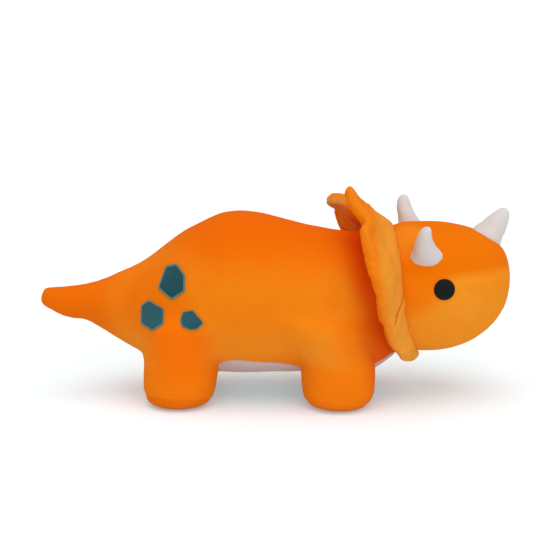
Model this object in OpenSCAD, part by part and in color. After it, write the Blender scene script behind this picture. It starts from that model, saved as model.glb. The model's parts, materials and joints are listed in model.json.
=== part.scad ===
// Stuffed three-horned dinosaur that stands on four round feet.
// It faces +X, +Z is up and +Y is its left side. The origin lies on the floor
// under the middle of the toy. Fabric panels are thin shells round a filling.

/* [Toy] */
// Length from the tip of the tail to the front of the nose horn
toy_len = 400; // [340:10:480]
// Thickness of the plush fabric with its pile
fabric_t = 2; // [1.5:0.1:2.4]
// Turn of the head to the toy's left at rest, in degrees
head_turn = 4; // [-4:1:4]

/* [Legs] */
// Radius of each leg at its widest
leg_r = 30; // [27:1:31]
// Radius of each round sole
sole_r = 22; // [18:1:24]
// Distance between the centres of the front feet
front_track = 72; // [68:1:74]
// Distance between the centres of the rear feet
rear_track = 66; // [64:1:70]

/* [Head] */
// Diameter of each embroidered eye
eye_d = 17.5; // [12:0.5:20]
// Diameter of each horn at its base
horn_base_d = 26; // [20:1:28]
// Length of each brow horn
brow_horn_len = 40; // [30:1:46]
// Length of the nose horn
nose_horn_len = 31; // [24:1:36]
// Radius of each horn's blunt tip
horn_tip_r = 4; // [3.5:0.5:5]

/* [Frill] */
// Depth of the dip between the frill's two top points
frill_dip = 25; // [12:1:28]
// Thickness of the padding at the middle of the frill
frill_pad_t = 7; // [5:0.5:8]

/* [Hidden] */
$fn = 48;

ORANGE = [0.92, 0.42, 0.03];
CREAM = [0.93, 0.86, 0.82];
WHITE = [0.93, 0.92, 0.91];
TEAL = [0.10, 0.33, 0.36];
BLACK = [0.05, 0.05, 0.05];
FIBRE = [0.95, 0.95, 0.93];

// One unit is a millimetre on a toy 400 mm long, and every length grows with toy_len.
u = toy_len / 400;
// Gap between a panel and the filling behind it
play = 1;
skin = fabric_t + play;

// Stations along the tail and body: [x, centre height, half height, half width]
BODY = [
    [-200, 86, 5, 5], [-196, 85.5, 8, 7.5], [-184, 84, 11.5, 11],
    [-165, 83.5, 15, 14], [-142, 82.3, 24, 22], [-116, 81, 37.5, 34],
    [-84, 83, 57, 50], [-58, 88, 66, 58], [-27, 91.5, 69, 61],
    [10, 89.5, 66, 60], [45, 86, 62, 56], [84, 83, 56, 45]
];
// Stations along the head: [x, centre height, half height, half width]
HEAD = [
    [105, 95, 46, 43], [114, 96, 54, 50], [132, 96.5, 55, 53],
    [152, 97.3, 52.5, 51], [168, 99, 47, 46], [180, 101, 40, 39],
    [190, 102.5, 29, 28], [195.5, 103, 18, 17], [198.5, 103, 5, 5]
];

body_front = 84;
body_rear = -108;
tail_front = -126;
tail_tip = -200;
head_rear = 105;
head_front = 198.5;

// The neck and the tail bend about the centres of two round ends of filling.
neck_pivot = [94, 0, 90];
neck_ball_r = 38;
tail_pivot = [-122, 0, 79];
tail_ball_r = 26;
ball_gap = 1;

// The right half of the frill's rim, from the top to the bottom: its x, its distance
// from the middle, its height, and the angle from the top where it meets the head
frill_top = 187;
RIM = [
    [77, 0, frill_top - frill_dip, 0], [66, 13, frill_top - frill_dip / 2, 12],
    [56, 27, frill_top, 23], [63, 44, 174, 38], [71, 61, 153, 56], [73, 73, 134, 73],
    [76, 76, 111, 90], [83, 72, 86, 108], [92, 63, 66, 126],
    [100, 49, 48, 145], [107, 30, 35, 163], [110, 0, 33, 180]
];
// The left half is the same but for its top point, which flops back and down.
flop = 16;
LEFT_RIM = [
    for (i = [0 : len(RIM) - 1])
        i == 1 ? RIM[i] + [-4, 1, -flop / 2, 0]
        : i == 2 ? RIM[i] + [-5, 1, -flop, 0]
        : i == 3 ? RIM[i] + [-3, 1, -flop / 2, 0]
        : RIM[i]
];

// The belly panel runs from this angle below the side of the body to its mirror image.
belly_seam = -47;

front_leg_x = 53;
rear_leg_x = -80;

// ---- curves through stations ----

function span(tab, x, i = 0) = i < len(tab) - 2 && x > tab[i + 1][0] ? span(tab, x, i + 1) : i;

function slope(tab, i, c) =
    let (a = max(i - 1, 0), b = min(i + 1, len(tab) - 1))
    (tab[b][c] - tab[a][c]) / (tab[b][0] - tab[a][0]);

// Column c of a table at x, on a smooth cubic through its stations
function curve(tab, x, c) =
    let (
        i = span(tab, x),
        d = tab[i + 1][0] - tab[i][0],
        t = min(max((x - tab[i][0]) / d, 0), 1)
    )
    (2 * t ^ 3 - 3 * t ^ 2 + 1) * tab[i][c] + (t ^ 3 - 2 * t ^ 2 + t) * d * slope(tab, i, c)
    + (3 * t ^ 2 - 2 * t ^ 3) * tab[i + 1][c] + (t ^ 3 - t ^ 2) * d * slope(tab, i + 1, c);

// A point of a body whose stations are in tab. Angle 0 is its right side and 90 its top.
function section_point(tab, x, angle, depth = 0) = [
    x * u,
    -(curve(tab, x, 3) * u - depth) * cos(angle),
    curve(tab, x, 1) * u + (curve(tab, x, 2) * u - depth) * sin(angle)
];

function unit(v) = v / norm(v);

// The outward normal there, from two short steps along the surface
function section_normal(tab, x, angle) =
    let (
        p = section_point(tab, x, angle),
        along = section_point(tab, x + 1, angle) - p,
        round_it = section_point(tab, x, angle + 1) - p
    )
    unit(cross(round_it, along)) * -1;

function steps(a, b, n) = [for (i = [0 : n]) a + (b - a) * i / n];

// ---- solids from rings and grids of points ----

function flat(list) = [for (a = list) for (b = a) b];

function quad(a, b, c, d) = [[a, b, c], [a, c, d]];

// Faces of a band of quads between rings of n points, with the rings numbered from 0
function ring_faces(rings, n, wrap) = [
    for (i = [0 : rings - (wrap ? 1 : 2)], j = [0 : n - 1])
        let (i2 = (i + 1) % rings, j2 = (j + 1) % n)
        each quad(i * n + j, i * n + j2, i2 * n + j2, i2 * n + j)
];

// A solid through rings of points, closed by its first and last rings
module loft(rings) {
    n = len(rings[0]);
    last = (len(rings) - 1) * n;
    polyhedron(
        flat(rings),
        concat(
            ring_faces(len(rings), n, false),
            [[for (j = [n - 1 : -1 : 0]) j]],
            [[for (j = [0 : n - 1]) last + j]]
        )
    );
}

// A ring-shaped solid, whose last ring meets its first
module loft_loop(rings) {
    polyhedron(flat(rings), ring_faces(len(rings), len(rings[0]), true));
}

// A sheet between two grids of points of the same size, closed at its four edges
module sheet(outer, inner) {
    rows = len(outer);
    cols = len(outer[0]);
    function at(side, i, j) = side * rows * cols + i * cols + j;
    polyhedron(
        concat(flat(outer), flat(inner)),
        concat(
            [for (i = [0 : rows - 2], j = [0 : cols - 2])
                each quad(at(0, i, j), at(0, i, j + 1), at(0, i + 1, j + 1), at(0, i + 1, j))],
            [for (i = [0 : rows - 2], j = [0 : cols - 2])
                each quad(at(1, i + 1, j), at(1, i + 1, j + 1), at(1, i, j + 1), at(1, i, j))],
            [for (i = [0 : rows - 2]) each concat(
                quad(at(0, i + 1, 0), at(1, i + 1, 0), at(1, i, 0), at(0, i, 0)),
                quad(at(0, i, cols - 1), at(1, i, cols - 1),
                     at(1, i + 1, cols - 1), at(0, i + 1, cols - 1))
            )],
            [for (j = [0 : cols - 2]) each concat(
                quad(at(0, 0, j), at(1, 0, j), at(1, 0, j + 1), at(0, 0, j + 1)),
                quad(at(0, rows - 1, j + 1), at(1, rows - 1, j + 1),
                     at(1, rows - 1, j), at(0, rows - 1, j))
            )]
        )
    );
}

// A fabric panel over part of a body, between two angles and two stations
module panel(tab, x0, x1, a0, a1, nx, na) {
    xs = steps(x0, x1, nx);
    angles = steps(a0, a1, na);
    sheet(
        [for (x = xs) [for (a = angles) section_point(tab, x, a)]],
        [for (x = xs) [for (a = angles) section_point(tab, x, a, fabric_t)]]
    );
}

function section_ring(tab, x, n, depth) =
    [for (j = [0 : n - 1]) section_point(tab, x, 360 * j / n, depth)];

// Rings on a sphere about a pivot, from the angle a0 off the X axis to a1. The
// rings are round, and dir is 1 on the sphere's front half and -1 on its rear.
function ball_rings(pivot, r, a0, a1, count, n, dir) = [
    for (i = [0 : count])
        let (a = a0 + (a1 - a0) * i / count)
        [for (j = [0 : n - 1]) [
            pivot.x * u + dir * r * cos(a),
            -r * sin(a) * cos(360 * j / n),
            pivot.z * u + r * sin(a) * sin(360 * j / n)
        ]]
];

// The angle off the X axis at which a sphere of radius r about a pivot crosses x
function ball_angle(pivot, r, x) = acos(abs(x - pivot.x) * u / r);

// ---- body and tail ----

module body_side() {
    color(ORANGE) panel(BODY, body_rear, body_front, belly_seam + 0.6, 89.6, 18, 9);
}

module belly_panel() {
    color(CREAM) panel(BODY, body_rear, body_front, -180 - belly_seam + 0.6, belly_seam - 0.6, 18, 6);
}

tail_bays = 8;
module tail_side() {
    color(ORANGE) panel(BODY, tail_tip + 1, tail_front, -89.4, 89.4, tail_bays, 10);
}

module body_filling() {
    n = 24;
    socket = neck_ball_r * u + ball_gap;
    tail_socket = tail_ball_r * u + ball_gap;
    color(FIBRE) loft(concat(
        ball_rings(tail_pivot, tail_socket, 8, ball_angle(tail_pivot, tail_socket, body_rear), 3, n, 1),
        [for (x = steps(body_rear, body_front, 16)) section_ring(BODY, x, n, skin)],
        ball_rings(neck_pivot, socket, ball_angle(neck_pivot, socket, body_front), 8, 4, n, -1)
    ));
}

module tail_filling() {
    n = 16;
    xs = steps(tail_tip + 1, tail_front, tail_bays);
    color(FIBRE) loft(concat(
        [for (i = [1 : tail_bays]) section_ring(BODY, xs[i], n, skin)],
        ball_rings(tail_pivot, tail_ball_r * u, 88, 8, 5, n, 1)
    ));
}

module neck_filling() {
    color(FIBRE) translate(neck_pivot * u) sphere(neck_ball_r * u);
}

// ---- legs ----

// Height of the body's underside over a point of the floor
function underside(x, y) =
    let (
        w = curve(BODY, x / u, 3) * u,
        h = curve(BODY, x / u, 2) * u
    )
    curve(BODY, x / u, 1) * u - h * sqrt(max(1 - (y / w) ^ 2, 0));

// The leg hugs the body up to this height on its outer side.
haunch = 60;
leg_gap = 0.8;

function leg_top(x, y) = min(underside(x, y) - leg_gap, haunch * u);

// A ring round a leg at radius r. Its points share a height, or follow the body.
function leg_ring(at, r, z, n) = [
    for (j = [0 : n - 1])
        let (
            x = at.x * u + r * cos(-360 * j / n),
            y = at.y * u + r * sin(-360 * j / n)
        )
        [x, y, is_undef(z) ? leg_top(x, y) : z]
];

// A ring part of the way up the straight stretch of a leg, from z0 to the body
function leg_wall_ring(at, r, z0, t, n) =
    [for (p = leg_ring(at, r, undef, n)) [p.x, p.y, z0 + (p.z - z0) * t]];

// The foot's round edge is a quarter of an ellipse from the sole to the leg's full radius.
foot_h = 15;
function foot_rings(at, depth, count, n) = [
    for (i = [0 : count])
        let (a = 90 * i / count)
        leg_ring(
            at,
            (sole_r + (leg_r - sole_r) * sin(a)) * u - depth,
            foot_h * u - (foot_h * u - 2.2) * cos(a) + depth / 2,
            n
        )
];

module leg_cover(at) {
    n = 20;
    color(ORANGE) loft_loop(concat(
        foot_rings(at, 0, 3, n),
        [leg_wall_ring(at, leg_r * u, foot_h * u, 0.5, n)],
        [leg_ring(at, leg_r * u, undef, n)],
        [leg_ring(at, leg_r * u - fabric_t, undef, n)],
        [leg_wall_ring(at, leg_r * u - fabric_t, foot_h * u, 0.5, n)],
        [for (i = [3 : -1 : 0]) foot_rings(at, fabric_t, 3, n)[i]]
    ));
}

module leg_filling(at) {
    n = 20;
    r = leg_r * u - skin;
    foot = foot_rings(at, skin, 3, n);
    color(FIBRE) loft(concat(
        [leg_ring(at, 6 * u, foot[0][0].z, n)],
        foot,
        [leg_wall_ring(at, r, foot_h * u, 0.5, n)],
        [for (k = [1, 0.8, 0.55, 0.3, 0.08]) leg_ring(at, r * k, undef, n)]
    ));
}

module sole(at) {
    color(ORANGE) translate([at.x * u, at.y * u, 0]) cylinder(h = fabric_t, r = sole_r * u);
}

front_right_foot = [front_leg_x, -front_track / 2];
front_left_foot = [front_leg_x, front_track / 2];
rear_right_foot = [rear_leg_x, -rear_track / 2];
rear_left_foot = [rear_leg_x, rear_track / 2];

// ---- spots ----

spot_t = 1.2;

// Stands children on the body's right side, with +Z out of the fabric and +X forwards
module on_body(x, angle) {
    p = section_point(BODY, x, angle);
    n = section_normal(BODY, x, angle);
    ey = unit(cross(n, [1, 0, 0]));
    ex = cross(ey, n);
    multmatrix([
        [ex.x, ey.x, n.x, p.x + n.x * 0.1],
        [ex.y, ey.y, n.y, p.y + n.y * 0.1],
        [ex.z, ey.z, n.z, p.z + n.z * 0.1]
    ]) children();
}

module spot(x, angle, corners) {
    color(TEAL) on_body(x, angle) linear_extrude(spot_t) polygon(corners * u);
}

module upper_spot() {
    spot(-86, 31, [[-7, 14.5], [6, 15.5], [12, 4.5], [11, -10], [-1, -17], [-13.5, -6.5]]);
}

module rear_spot() {
    spot(-102, -1, [[-11, 9], [-2.5, 13.5], [11, 5], [11.5, -7], [1, -14], [-11, -8]]);
}

module lower_spot() {
    spot(-71, -10, [[-9, 5.5], [0, 9], [7, 4.5], [11, -1], [6, -7.5], [-2.5, -8.5], [-9, -4.5]]);
}

module left_side() { mirror([0, 1, 0]) children(); }

// ---- head ----

// The head and its frill are drawn facing straight ahead, then turned about the neck.
module turned() {
    translate(neck_pivot * u) rotate([0, 0, head_turn]) translate(-neck_pivot * u) children();
}

head_bays = 12;
module head_side() {
    color(ORANGE) panel(HEAD, head_rear, head_front, -89.6, 89.6, head_bays, 12);
}

module head_filling() {
    n = 24;
    socket = neck_ball_r * u + ball_gap;
    xs = steps(head_rear, head_front, head_bays);
    color(FIBRE) loft(concat(
        ball_rings(neck_pivot, socket, 8, ball_angle(neck_pivot, socket, head_rear), 4, n, 1),
        [for (i = [0 : head_bays - 1]) section_ring(HEAD, xs[i], n, skin)]
    ));
}

eye_t = 1.4;
module eye() {
    p = section_point(HEAD, 135, 9);
    n = section_normal(HEAD, 135, 9);
    color(BLACK) translate(p + n * 0.1)
        rotate([0, acos(n.z), atan2(n.y, n.x)]) cylinder(h = eye_t, r = eye_d * u / 2);
}

// ---- horns ----

// Positive outside the head and negative inside it
function outside_head(p) =
    let (x = p.x / u)
    x > head_front ? 1
    : (p.y / curve(HEAD, x, 3) / u) ^ 2 + ((p.z / u - curve(HEAD, x, 1)) / curve(HEAD, x, 2)) ^ 2 - 1;

// The point where the line through p along d leaves the head, found by halving lo to hi
function landing(p, d, lo, hi, n = 14) =
    let (m = (lo + hi) / 2)
    n == 0 ? p + d * hi
    : outside_head(p + d * m) > 0 ? landing(p, d, lo, m, n - 1) : landing(p, d, m, hi, n - 1);

// A ring of a horn. The foot ring lies on the head, and higher rings shrink along
// an axis that leans back and then curls forwards by bend.
function horn_radius(t, depth) =
    let (cone = horn_base_d * u / 2 * (1 - t) + horn_tip_r * u * t)
    max(cone * sqrt(max(1 - (max(t - 0.72, 0) / 0.29) ^ 2, 0)) - depth, 0.4);

function horn_ring(at, d, length, bend, t, depth, n) =
    let (
        side = unit(cross(d, [1, 0, 0])),
        ahead = cross(side, d),
        middle = at * u + d * length * u * t + ahead * bend * u * (4 * t * t - 3 * t),
        r = horn_radius(t, depth)
    )
    [for (j = [0 : n - 1])
        let (p = middle + (side * cos(360 * j / n) + ahead * sin(360 * j / n)) * r)
        t == 0 ? landing(p, d, -14 * u, 14 * u) + d * 0.5 : p];

function horn_rings(at, d, length, bend, depth, n) = [
    for (t = [0, 0.22, 0.44, 0.64, 0.8, 0.92, 1 - depth / length / u])
        horn_ring(at, d, length, bend, t, depth, n)
];

module horn_cover(at, d, length, bend) {
    n = 14;
    outer = horn_rings(at, d, length, bend, 0, n);
    inner = horn_rings(at, d, length, bend, fabric_t, n);
    inner_last = len(inner) - 1;
    tip = at * u + d * length * u;
    color(WHITE) difference() {
        loft(outer);
        loft(concat([[for (p = inner[0]) p - d * 3]], [for (i = [1 : inner_last]) inner[i]]));
    }
}

// The filling's foot stands clear of the head's curve under it.
foot_lift = 3;
module horn_filling(at, d, length, bend) {
    n = 14;
    rings = horn_rings(at, d, length, bend, skin + play, n);
    last = len(rings) - 1;
    color(FIBRE) loft(concat(
        [[for (p = rings[0]) p + d * foot_lift]],
        [for (i = [1 : last]) rings[i]]
    ));
}

brow_at = [121, -40, 128.5];
brow_dir = unit([-0.08, -0.55, 0.83]);
brow_bend = 2.5;
nose_at = [179.5, 0, 139];
nose_dir = unit([0.62, 0, 0.79]);
nose_bend = -1.5;

// ---- frill ----

// Angle 0 is the top of the frill's root and 90 its right side.
function frill_root(a) = [
    (99.5 - 7.5 * cos(a)) * u,
    -50 * u * sin(a),
    (94 + 52 * cos(a)) * u
];

// Knot k of the rim, counted down the right half and back up the left, lap after lap
function rim_knot(k) =
    let (
        last = len(RIM) - 1,
        lap = floor(k / (2 * last)),
        i = k - lap * 2 * last,
        v = i > last ? LEFT_RIM[2 * last - i] : RIM[i]
    )
    i > last ? [v[0], -v[1], v[2], 360 * (lap + 1) - v[3]]
    : [v[0], v[1], v[2], 360 * lap + v[3]];

// A smooth curve through the knots, where t counts knots from the top
function rim_curve(t) =
    let (
        k = floor(t),
        f = t - k,
        a = rim_knot(k - 1),
        b = rim_knot(k),
        c = rim_knot(k + 1),
        d = rim_knot(k + 2)
    )
    (2 * b + (c - a) * f + (2 * a - 5 * b + 4 * c - d) * f ^ 2
    + (3 * b - 3 * c + d - a) * f ^ 3) / 2;

// A point of the frill's middle sheet, where s runs from the root, 0, to the rim, 1
function frill_mid(t, s) =
    let (v = rim_curve(t))
    frill_root(v[3]) * (1 - s) + [v[0], -v[1], v[2]] * u * s;

// Points out of the frill's front face
function frill_normal(t, s) =
    unit(cross(
        frill_mid(t, s + 0.02) - frill_mid(t, s - 0.02),
        frill_mid(t + 0.1, s) - frill_mid(t - 0.1, s)
    ));

// The padding is thin at the root and the rim and full between them.
function pad_half(s) = (frill_pad_t * (0.25 + 0.75 * sin(180 * s)) / 2) * u;

// A ring round the frill, down its right half and back up its left
FRILL_BAYS = 44;
function frill_ring(s, offset) = [
    for (i = [0 : FRILL_BAYS - 1])
        let (t = 2 * i * (len(RIM) - 1) / FRILL_BAYS)
        frill_mid(t, s) + frill_normal(t, s) * offset
];

FRILL_STEPS = [0, 0.25, 0.5, 0.75, 1];

module frill_layer(side) {
    near = [for (s = FRILL_STEPS) frill_ring(s, side * (pad_half(s) + play))];
    away = [for (s = FRILL_STEPS) frill_ring(s, side * (pad_half(s) + play + fabric_t))];
    last = len(FRILL_STEPS) - 1;
    color(ORANGE) loft_loop(concat(
        side > 0 ? near : away,
        [for (i = [last : -1 : 0]) side > 0 ? away[i] : near[i]]
    ));
}

PAD_STEPS = [0.05, 0.3, 0.6, 0.95];
module frill_padding() {
    last = len(PAD_STEPS) - 1;
    color(FIBRE) loft_loop(concat(
        [for (s = PAD_STEPS) frill_ring(s, -pad_half(s))],
        [for (i = [last : -1 : 0]) frill_ring(PAD_STEPS[i], pad_half(PAD_STEPS[i]))]
    ));
}

// ---- nodes ----

body_side();  // body_side_right
left_side() body_side();  // body_side_left
belly_panel();
body_filling();
leg_cover(front_right_foot);  // leg_front_right
leg_cover(front_left_foot);  // leg_front_left
leg_cover(rear_right_foot);  // leg_rear_right
leg_cover(rear_left_foot);  // leg_rear_left
leg_filling(front_right_foot);  // leg_filling_front_right
leg_filling(front_left_foot);  // leg_filling_front_left
leg_filling(rear_right_foot);  // leg_filling_rear_right
leg_filling(rear_left_foot);  // leg_filling_rear_left
sole(front_right_foot);  // sole_front_right
sole(front_left_foot);  // sole_front_left
sole(rear_right_foot);  // sole_rear_right
sole(rear_left_foot);  // sole_rear_left
upper_spot();  // spot_upper_right
rear_spot();  // spot_rear_right
lower_spot();  // spot_lower_right
left_side() upper_spot();  // spot_upper_left
left_side() rear_spot();  // spot_rear_left
left_side() lower_spot();  // spot_lower_left
tail_side();  // tail_side_right
left_side() tail_side();  // tail_side_left
tail_filling();
neck_filling();
turned() head_side();  // head_side_right
turned() left_side() head_side();  // head_side_left
turned() head_filling();
turned() frill_layer(1);  // frill_front
turned() frill_layer(-1);  // frill_back
turned() frill_padding();
turned() horn_cover(nose_at, nose_dir, nose_horn_len, nose_bend);  // nose_horn
turned() horn_filling(nose_at, nose_dir, nose_horn_len, nose_bend);  // nose_horn_filling
turned() horn_cover(brow_at, brow_dir, brow_horn_len, brow_bend);  // brow_horn_right
turned() horn_filling(brow_at, brow_dir, brow_horn_len, brow_bend);  // brow_horn_right_filling
turned() left_side() horn_cover(brow_at, brow_dir, brow_horn_len, brow_bend);  // brow_horn_left
turned() left_side() horn_filling(brow_at, brow_dir, brow_horn_len, brow_bend);  // brow_horn_left_filling
turned() eye();  // eye_right
turned() left_side() eye();  // eye_left
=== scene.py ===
"""Looks for the stuffed horned dinosaur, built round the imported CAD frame.

The body's and the head's skins are modelled as distance fields, meshed, inflated as cloth
between their pinned seams, refined, and cut along the seams into the toy's real panels. The
collar is inflated too, from rows of points. Sizes are in millimetres until a mesh is made,
and the frame's own axes are used throughout.
"""

import json
import math

import bmesh
import bpy
import numpy as np
import openvdb
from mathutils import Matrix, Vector, noise
from mathutils.bvhtree import BVHTree
from mathutils.kdtree import KDTree


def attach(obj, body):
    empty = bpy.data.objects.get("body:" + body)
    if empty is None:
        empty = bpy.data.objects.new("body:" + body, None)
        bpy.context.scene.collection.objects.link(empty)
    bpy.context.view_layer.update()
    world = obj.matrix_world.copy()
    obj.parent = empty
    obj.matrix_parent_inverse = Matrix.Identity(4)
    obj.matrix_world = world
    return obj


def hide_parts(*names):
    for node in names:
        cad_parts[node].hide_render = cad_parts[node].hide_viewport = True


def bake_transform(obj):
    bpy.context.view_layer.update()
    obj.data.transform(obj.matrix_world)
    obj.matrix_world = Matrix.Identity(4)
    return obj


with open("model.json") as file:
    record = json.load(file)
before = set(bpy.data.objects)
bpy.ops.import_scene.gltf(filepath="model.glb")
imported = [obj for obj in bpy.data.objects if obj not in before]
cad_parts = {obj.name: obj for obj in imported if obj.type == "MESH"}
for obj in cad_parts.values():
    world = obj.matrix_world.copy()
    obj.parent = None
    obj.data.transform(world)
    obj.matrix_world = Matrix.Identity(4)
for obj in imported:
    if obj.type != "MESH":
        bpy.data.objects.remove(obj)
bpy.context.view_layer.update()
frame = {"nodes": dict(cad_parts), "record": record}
scene = bpy.context.scene
MM = 0.001

# --- shapes ---

# Stations along the body and tail: x, centre height, half height, half width
BODY = np.array([
    [-199.8, 86.2, 2.6, 2.6], [-199, 86, 5.4, 5.6], [-196, 85.2, 7.9, 8.2], [-189, 83.7, 10.5, 10],
    [-176, 81.4, 14, 12.5], [-161, 81.6, 16, 14], [-147, 79.9, 21.5, 19], [-134, 78.3, 28.4, 25],
    [-116, 77.4, 37.2, 34], [-106, 79.2, 41.4, 39], [-91, 82.9, 48.8, 46], [-75, 87, 56.8, 52],
    [-60, 88.2, 63.2, 57], [-45, 89.5, 67.9, 60], [-29, 90, 69.4, 61], [-14, 89.6, 68.6, 61],
    [1, 88.1, 66.3, 60.5], [17, 86.2, 64.2, 59.5], [32, 84.6, 62, 57.5], [45, 83.1, 60.7, 55.5],
    [62, 81.8, 60, 52], [72, 81.3, 59.6, 48], [84, 80.4, 56.8, 43], [95, 78.6, 47.6, 37.5],
    [102, 78, 41, 31.5], [106.5, 78, 30.5, 24], [108.7, 78, 17, 14],
], float)
# The same along the head, straight ahead before it is turned
HEAD = np.array([
    [90, 93, 46, 43], [98, 94.2, 50.8, 47], [108, 94.8, 54.2, 51], [122, 94.8, 55, 53],
    [136, 94.8, 54.8, 53.5], [152, 95.3, 52.6, 51], [168, 96.3, 47.8, 46], [180, 98, 41.2, 39],
    [190, 99.3, 31.8, 30], [196, 100, 22, 20.5], [199.4, 100, 10, 10], [200.4, 100, 4, 4],
], float)
# The neck's joint, the ball of skin about it, and how far the head is turned at rest
NECK = np.array([94.0, 0.0, 90.0])
NECK_R = 43.5
HEAD_TURN = 4.0
# The head's open back edge is at this x, and lies further forward by this much at heights z.
OPENING_X = 99.0
OPENING_SLANT = ([40, 87, 104, 122], [15, 0, 0, -3])

# The toy's two sides, and the sign of y on each
HANDS = (("right", -1), ("left", 1))
# Feet: centre x, centre y, and how the sole's seam stands: height, slope along x, slope outwards
FEET = [
    (x, sign * y, *seam)
    for x, y, *seam in ((53, 37.5, 4.6, -0.03, 0.03), (-78.5, 31, 6.5, -0.06, 0.2))
    for _, sign in HANDS
]
# How far each pair of legs leans along x, at heights up the leg
LEAN = {"front": ([0, 36, 80], [0, 0, -16]), "rear": ([4, 44], [-2.4, 0])}
# A leg's radius at heights up it
LEG_R = np.array([[0, 24], [6, 28.5], [14, 30.6], [26, 31.2], [40, 30.8], [60, 30.5]], float)
# No sole's seam comes nearer to the floor than this.
SEAM_LOWEST = 2.6

# The ends of the crease on the collar's left front, and the way that it faces
CREASE = [(100, 51, 95), (86, 62, 76), (0.75, 0.65, 0)]


def bell(d, width):
    """1 where d is 0, falling smoothly to 0 within about two widths each way."""
    return np.exp(-((d / width) ** 2))


def unit(v):
    """Vectors of length 1 that point the same way."""
    return v / np.linalg.norm(v, axis=-1, keepdims=True)


def crease(sign):
    """The same for the crease on the side where y has that sign."""
    return [(x, sign * y, z) for x, y, z in CREASE]


def turned(pts):
    """Turns points of the head, drawn straight ahead, to where they stand at rest."""
    a = math.radians(HEAD_TURN)
    q = np.asarray(pts, float) - NECK
    return np.column_stack([
        q[:, 0] * math.cos(a) - q[:, 1] * math.sin(a),
        q[:, 0] * math.sin(a) + q[:, 1] * math.cos(a),
        q[:, 2],
    ]) + NECK


def curve(tab, x, c):
    """Column c of a table of stations at x, on a smooth cubic through them."""
    xs, v = tab[:, 0], tab[:, c]
    m = np.gradient(v, xs)
    x = np.clip(x, xs[0], xs[-1])
    i = np.clip(np.searchsorted(xs, x) - 1, 0, len(xs) - 2)
    d = xs[i + 1] - xs[i]
    t = (x - xs[i]) / d
    return (
        (2 * t**3 - 3 * t**2 + 1) * v[i] + (t**3 - 2 * t**2 + t) * d * m[i]
        + (3 * t**2 - 2 * t**3) * v[i + 1] + (t**3 - t**2) * d * m[i + 1]
    )


def tube(p, tab, power=2.0):
    """Roughly the distance from the body with those stations, negative inside."""
    x, y, z = p
    zc, hh, hw = curve(tab, x, 1), curve(tab, x, 2), curve(tab, x, 3)
    dy, dz = np.abs(y) / hw, np.abs(z - zc) / hh
    q = (dy**power + dz**power) ** (1 / power) + 1e-9
    r = np.sqrt(y**2 + (z - zc) ** 2)
    side = np.where(q > 1e-6, r * (1 - 1 / q), -hh)
    beyond = np.maximum(tab[0, 0] - x, x - tab[-1, 0])
    return np.where(beyond > 0, np.hypot(beyond, np.maximum(side, 0)), side)


def smin(a, b, k):
    """The smaller of two distances, blended where they differ by less than k."""
    h = np.clip(0.5 + 0.5 * (b - a) / k, 0, 1)
    return b + (a - b) * h - k * h * (1 - h)


def smax(a, b, k):
    """The larger of two, blended in the same way."""
    return -smin(-a, -b, k)


def leg(p, at):
    """The field of one leg over its foot."""
    x, y, z = p
    lean = np.interp(z, *LEAN["front" if at[0] > 0 else "rear"])
    r = np.hypot(x - at[0] - lean, y - at[1])
    side = r - np.interp(z, LEG_R[:, 0], LEG_R[:, 1])
    # It is rounded at the floor, and its top ends inside the body.
    return smax(smax(side, -z, 9.0), z - 74, 12.0)


def body_field(p):
    """Roughly the distance from the body's skin, negative inside."""
    x, y, z = p
    d = tube(p, BODY)
    # The front closes in a ball that turns inside the head.
    ball = np.sqrt((x - NECK[0]) ** 2 + y**2 + (z - NECK[2]) ** 2) - NECK_R
    d = smin(d, ball, 6.0)
    # The legs meet the belly in a tight curve and run softly into the flanks above, and the
    # rear ones into the tail behind them.
    soft = 7.0 + 13.0 * np.clip((z - 38) / 30, 0, 1)
    soft = np.maximum(soft, 7.0 + 11.0 * np.clip((-92 - x) / 12, 0, 1))
    for at in FEET:
        d = smin(d, leg(p, at), soft)
    return d


def head_field(p):
    """The same for the head, slightly squarer than an ellipse and flat behind."""
    return smax(tube(p, HEAD, 2.12), 93 - p[0], 3.0)


def field_mesh(field, low, high, shrink):
    """Points and quads of the surface where field is -shrink, evened out and set exactly on it."""
    step = 4.0
    axes = [np.arange(a, b + step, step) for a, b in zip(low, high)]
    p = np.meshgrid(*axes, indexing="ij")
    grid = openvdb.FloatGrid(50.0)
    grid.copyFromArray((field(p) + shrink).astype(np.float32))
    pts, quads = grid.convertToQuads(isovalue=0.0)
    pts = pts.astype(float) * step + np.array(low)
    a, b, c = (pts[quads[:, i]] for i in range(3))
    if np.einsum("ij,ij->i", a, np.cross(b - a, c - a)).sum() < 0:
        quads = quads[:, ::-1]
    ring = Neighbours(quads, len(pts))
    for _ in range(6):
        pts = pts + 0.5 * (ring.mean(pts) - pts)
        pts = on_surface(pts, field, shrink)
    return on_surface(on_surface(pts, field, shrink), field, shrink), quads


def settle(pts, quads, field):
    """Brings the blown-up skin back to its form on the whole and keeps its creases and puffs."""
    g = np.linalg.norm(gradient(field, pts), axis=1)
    off = np.clip(field(pts.T) / np.maximum(g, 0.5), -8, 8)
    ring = Neighbours(quads, len(pts))
    for _ in range(10):
        off = 0.5 * (off + ring.mean(off))
    return pts - normals(pts, quads) * off[:, None]


def gradient(field, pts, h=0.4):
    """The field's slope at each point, from differences over h each way."""
    g = np.empty_like(pts)
    for i in range(3):
        e = np.zeros(3)
        e[i] = h
        g[:, i] = (field((pts + e).T) - field((pts - e).T)) / (2 * h)
    return g


def on_surface(pts, field, shrink):
    """Moves points along the field's slope to where it is -shrink."""
    g = gradient(field, pts)
    n2 = np.maximum((g**2).sum(1), 0.05)
    step = (field(pts.T) + shrink) / n2
    return pts - g * np.clip(step, -4, 4)[:, None]


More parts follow.
